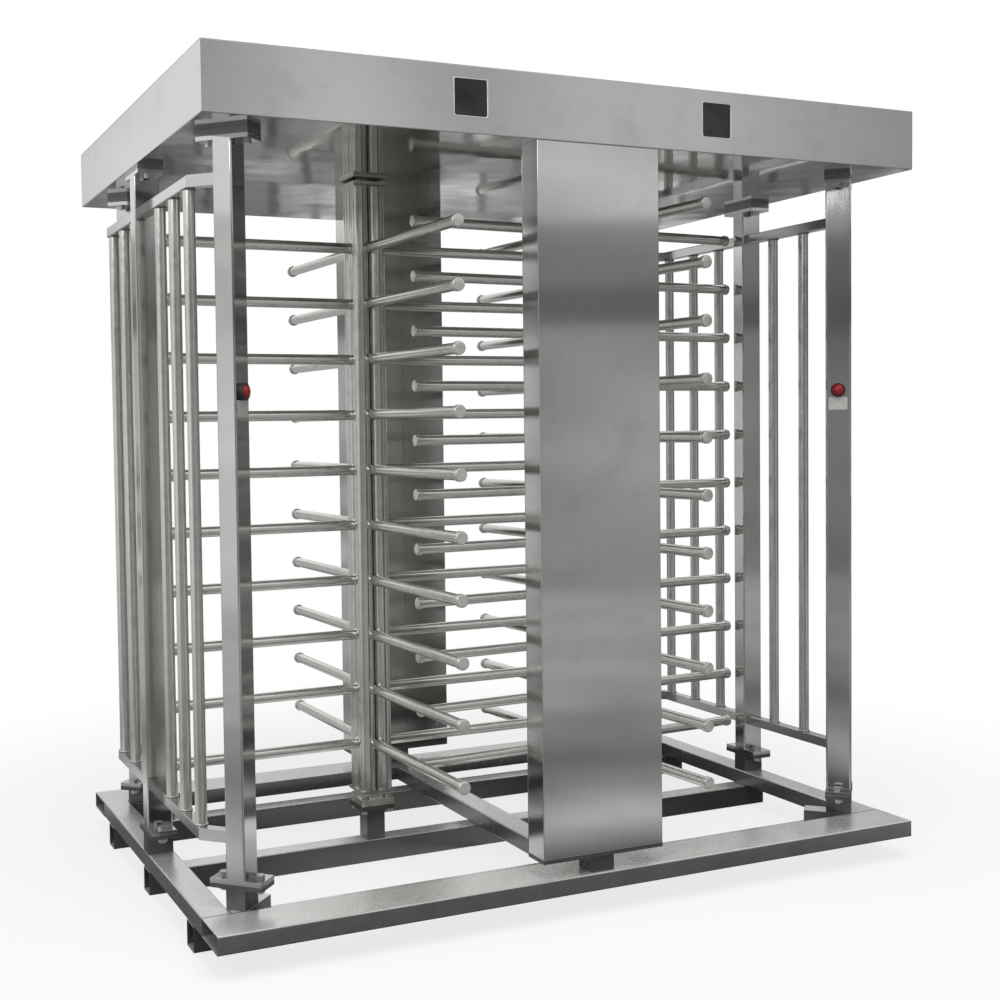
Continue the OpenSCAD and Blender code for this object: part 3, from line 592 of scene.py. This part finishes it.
# Caps on the arms, with a plug inside the tube
CAP_R = 0.019
CAP_LENGTH = 0.016
CAP_CHAMFER = 0.0007
CAP_ROUND = 0.0038
CAP_CROWN = 0.0004
CAP_SIDES = 24
PLUG_R = 0.0135
PLUG_LENGTH = 0.020
# A point of a dome is its tip if no other is farther from the rotor's axis by more than this
TIP_SLACK = 0.00001


def lathe(bm, start, along, outline, sides):
    """A turned form on the line from start in the direction along, which the outline begins and ends on."""
    across = along.orthogonal().normalized()
    other = along.cross(across)
    spokes = [across * math.cos(turn) + other * math.sin(turn) for turn in full_turn(sides)]
    rings = []
    for distance, radius in outline[1:-1]:
        rings.append([bm.verts.new(start + along * distance + spoke * radius) for spoke in spokes])
    for ring, after in zip(rings, rings[1:]):
        bridge(bm, ring, after)
    for (distance, _), ring in ((outline[0], rings[0]), (outline[-1], rings[-1])):
        tip = bm.verts.new(start + along * distance)
        for i, vert in enumerate(ring):
            bm.faces.new((vert, ring[(i + 1) % sides], tip))


def cap_outline(steps=3):
    """Distance from the shoulder and radius: plug, chamfer, rounded edge and a slightly raised end."""
    edge = CAP_LENGTH - CAP_CROWN - CAP_ROUND
    corner = []
    for turn in quarter_turn(steps):
        corner.append((edge + CAP_ROUND * math.sin(turn), CAP_R - CAP_ROUND * (1 - math.cos(turn))))
    plug = [(-PLUG_LENGTH, 0), (-PLUG_LENGTH, PLUG_R), (0, PLUG_R)]
    return [*plug, (0, CAP_R - CAP_CHAMFER), (CAP_CHAMFER, CAP_R), *corner, (CAP_LENGTH, 0)]


def arm_tips(node, axis):
    """Tips of the frame's plain domes on the arms of a rotor: their points farthest from its axis."""
    points = {vert.co.to_tuple() for vert in frame["nodes"][node].data.vertices}
    reach = {point: (Vector(point) - axis).xy.length for point in points}
    farthest = max(reach.values())
    return [Vector(point) for point in sorted(points) if reach[point] > farthest - TIP_SLACK]


def make_arm_caps():
    """Flat-ended caps on the arms, in place of the plain domes of the frame."""
    for name in ("left", "right"):
        node = name + "_arm_caps"
        low, high = corners(name + "_rotor_column")
        axis = (low + high) / 2
        bm = bmesh.new()
        for tip in arm_tips(node, axis):
            along = Vector((tip.x - axis.x, tip.y - axis.y, 0)).normalized()
            lathe(bm, tip - along * CAP_LENGTH, along, cap_outline(), CAP_SIDES)
        piece = detail(node + "_flat", bm, "cap", slot_of[node], body_of_node[node])
        keep_flat(piece)
        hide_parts(node)


# Stage: floor, grey cards for the reflections, world and lamps
FLOOR_SIZE = 30
# The floor is just below the object, and the floor card between them
FLOOR_Z = -0.0005
FLOOR_CARD_Z = -0.0003
FLOOR_GREY = 0.82
BOUNCE_GREY = 0.3
WORLD_GREY = 0.36
# Distances from the middle between which the floor goes from this share of white to white
FLOOR_FADE = (1.2, 3.2)
FLOOR_WHITE = 0.78

CARD_RADIUS = 8
CARD_HEIGHT = 6.5
CARD_SIDES = 96
# Grey of the round card by direction
CARD_TURN = [
    (0.0, 0.80), (0.06, 0.85), (0.11, 0.24), (0.20, 0.28), (0.272, 0.31), (0.291, 0.55),
    (0.311, 0.31), (0.327, 0.46), (0.352, 0.46), (0.378, 0.28), (0.45, 0.16), (0.55, 0.12),
    (0.61, 0.50), (0.65, 1.0), (0.75, 0.95), (0.795, 0.36), (0.825, 0.85), (0.9, 0.7),
]
# Share of that grey by height, which is 1 at the card's top
CARD_RISE = [
    (0.0, 0.42), (0.20, 0.50), (0.27, 0.44), (0.328, 0.43), (0.338, 0.19), (0.371, 0.19),
    (0.388, 0.31), (0.456, 0.38), (0.468, 0.78), (0.52, 0.88), (0.68, 0.66), (0.80, 0.72), (1.0, 1.0),
]
# Gain of the round card from its dimmest patches to its brightest
CARD_GAIN = (1.7, 2.5)
# Least grey at the far end of the round card towards -X
CARD_LEFT = 0.33
# Least grey of the round card, reached between these heights, so that no side of the canopy goes dark
CARD_LEAST = 0.17
CARD_LEAST_FROM = (3.0, 4.4)
# Pale windows on the low part of the round card, behind the object: their share by direction
HALL_TURN = [(0.56, 0.0), (0.60, 1.0), (0.80, 1.0), (0.86, 0.0)]
# Their top, the height over which they fade in below it, how far a noise moves them, and their pattern
HALL_TOP = 1.3
HALL_FADE = 0.2
HALL_SHAKE = 0.5
HALL_PATTERN = {
    "Scale": 1.0,
    "Brick Width": 0.62,
    "Row Height": 0.30,
    "Mortar Size": 0.07,
    "Mortar Smooth": 0.8,
    "Color1": (0.80, 0.80, 0.79),
    "Color2": (0.42, 0.41, 0.385),
    "Mortar": (0.24, 0.24, 0.23),
}
# Grey of the floor card by distance from the middle, over the card's radius
FLOOR_OUT = [
    (0.0, 0.75), (0.06, 0.60), (0.10, 0.14), (0.17, 0.12), (0.225, 0.60),
    (0.29, 0.34), (0.34, 0.24), (0.5, 0.44), (1.0, 0.5),
]
# Share of that grey by direction
FLOOR_TURN = [
    (0.0, 0.70), (0.06, 0.70), (0.10, 0.32), (0.20, 0.45), (0.30, 0.55), (0.40, 0.50),
    (0.50, 0.26), (0.60, 0.26), (0.70, 0.50), (1.0, 0.70),
]
FLOOR_GAIN = (1.5, 2.3)
# Scale of each direction on the floor card, so that its rings are ovals, longer along X than along Y
FLOOR_OVAL = (0.88, 1.15, 1)


def stage_object(name, bm, mat):
    ob = object_from(name, bm)
    ob.data.materials.append(mat)
    return ob


def seen_directly(g):
    """1 for the rays of the camera, of glass and of gloss, which show the white background."""
    path = g.node("ShaderNodeLightPath")
    seen = g.math("MAXIMUM", path.outputs["Is Camera Ray"], path.outputs["Is Transmission Ray"])
    return g.math("MAXIMUM", seen, path.outputs["Is Glossy Ray"])


def make_floor():
    """A pale floor that fades into the white background away from the object."""
    mat, g = material("floor")
    white = g.span(g.length(g.coords()), *FLOOR_FADE, low=FLOOR_WHITE, smooth=True)
    lit = g.node("ShaderNodeBsdfDiffuse")
    bounced = g.node("ShaderNodeLightPath").outputs["Is Diffuse Ray"]
    g.put(g.mix(bounced, grey(FLOOR_GREY), grey(BOUNCE_GREY)), lit.inputs["Color"])
    glow = g.node("ShaderNodeEmission")
    both = g.node("ShaderNodeMixShader")
    g.put(g.math("MULTIPLY", seen_directly(g), white), both.inputs["Fac"])
    g.put(lit.outputs[0], both.inputs[1])
    g.put(glow.outputs[0], both.inputs[2])
    g.put(both.outputs[0], g.out.inputs["Surface"])
    bm = bmesh.new()
    bmesh.ops.create_grid(bm, x_segments=2, y_segments=2, size=FLOOR_SIZE)
    stage_object("floor", bm, mat).location = (0, 0, FLOOR_Z)


def card_material(name, color_of):
    mat, g = material(name)
    glow = g.node("ShaderNodeEmission")
    g.put(color_of(g), glow.inputs["Color"])
    g.put(glow.outputs[0], g.out.inputs["Surface"])
    return mat


def round_card_color(g):
    turn = g.direction()
    place = g.parts(g.coords())
    rise = g.span(place["Z"], 0, CARD_HEIGHT)
    clouds = g.noise(g.coords(scale=(0.5, 0.5, 1.2)), scale=1.3, detail=2)
    left = g.span(place["X"], -CARD_RADIUS / 2, -CARD_RADIUS, high=CARD_LEFT, smooth=True)
    least = g.span(place["Z"], *CARD_LEAST_FROM, high=CARD_LEAST)
    level = g.math("MULTIPLY", g.ramp(turn, CARD_TURN), g.ramp(rise, CARD_RISE))
    level = g.math("MAXIMUM", g.math("MAXIMUM", level, left), least)
    level = g.math("MULTIPLY", level, g.span(clouds, *NOISE_RANGE, *CARD_GAIN))
    low = g.span(place["Z"], HALL_TOP, HALL_TOP - HALL_FADE)
    hall = g.math("MULTIPLY", g.ramp(turn, HALL_TURN), low)
    return g.mix(hall, g.math("MINIMUM", level, 1.0), hall_color(g, turn, place["Z"]))


def hall_color(g, turn, height):
    """Soft pale rectangles, as of windows across a hall."""
    place = g.node("ShaderNodeCombineXYZ")
    g.put(g.math("MULTIPLY", turn, 2 * math.pi * CARD_RADIUS), place.inputs["X"])
    g.put(height, place.inputs["Y"])
    shaken = g.node("ShaderNodeVectorMath", operation="ADD")
    g.put(place.outputs[0], shaken.inputs[0])
    shake = g.noise(g.coords(), scale=1.2, detail=2)
    g.put(g.math("MULTIPLY", shake, HALL_SHAKE), shaken.inputs[1])
    panes = g.node("ShaderNodeTexBrick")
    g.put(shaken.outputs[0], panes.inputs["Vector"])
    for socket, value in HALL_PATTERN.items():
        g.put(value, panes.inputs[socket])
    clouds = g.noise(g.coords(scale=(1, 1, 2)), scale=0.5, detail=2)
    dim = g.span(clouds, start=0.42, end=0.56, low=0.42, smooth=True)
    return g.math("MULTIPLY", panes.outputs["Color"], dim)


def floor_card_color(g):
    out = g.span(g.length(g.coords(scale=FLOOR_OVAL)), 0, CARD_RADIUS)
    level = g.math("MULTIPLY", g.ramp(out, FLOOR_OUT), g.ramp(g.direction(), FLOOR_TURN))
    clouds = g.noise(g.coords(), scale=1.6, detail=2)
    return g.math("MULTIPLY", level, g.span(clouds, *NOISE_RANGE, *FLOOR_GAIN))


def make_cards():
    """Grey studio cards round the object and on the floor, seen only in reflections."""
    bm = bmesh.new()
    bmesh.ops.create_cone(
        bm, segments=CARD_SIDES, radius1=CARD_RADIUS, radius2=CARD_RADIUS, depth=CARD_HEIGHT)
    bmesh.ops.translate(bm, verts=bm.verts, vec=(0, 0, CARD_HEIGHT / 2))
    round_card = stage_object("round_card", bm, card_material("round_card", round_card_color))
    bm = bmesh.new()
    bmesh.ops.create_circle(bm, cap_ends=True, segments=CARD_SIDES, radius=CARD_RADIUS)
    floor_card = stage_object("floor_card", bm, card_material("floor_card", floor_card_color))
    floor_card.location = (0, 0, FLOOR_CARD_Z)
    for card in (round_card, floor_card):
        for ray in ("camera", "diffuse", "transmission", "volume_scatter", "shadow"):
            setattr(card, "visible_" + ray, False)


def make_world():
    world = bpy.data.worlds.new("studio")
    world.use_nodes = True
    g = Graph(world.node_tree, "ShaderNodeOutputWorld")
    back = g.node("ShaderNodeBackground")
    g.put(g.mix(seen_directly(g), grey(WORLD_GREY), grey(1)), back.inputs["Color"])
    g.put(back.outputs[0], g.out.inputs["Surface"])
    scene.world = world


def area_light(name, place, aim, size, power, shines=False):
    light = bpy.data.lights.new(name, "AREA")
    light.shape = "RECTANGLE"
    light.size = light.size_y = size
    light.energy = power
    ob = bpy.data.objects.new(name, light)
    scene.collection.objects.link(ob)
    ob.location = place
    ob.rotation_mode = "QUATERNION"
    ob.rotation_quaternion = (Vector(aim) - Vector(place)).to_track_quat("-Z", "Y")
    ob.visible_glossy = shines


def make_lights():
    area_light("top", place=(-0.8, -2.3, 6.0), aim=(-0.5, -1.0, 0), size=4.0, power=260)
    area_light("key", place=(-4.6, -3.6, 4.2), aim=(0, 0, 1.1), size=2.6, power=80, shines=True)
    area_light("fill", place=(3.5, -5.5, 2.0), aim=(0, 0, 1.1), size=3.0, power=12)


make_camera()
dress_frame()
round_the_tubes()
make_windows()
make_cage_welds()
make_arm_caps()
make_floor()
make_cards()
make_world()
make_lights()
scene.view_settings.view_transform = "Standard"
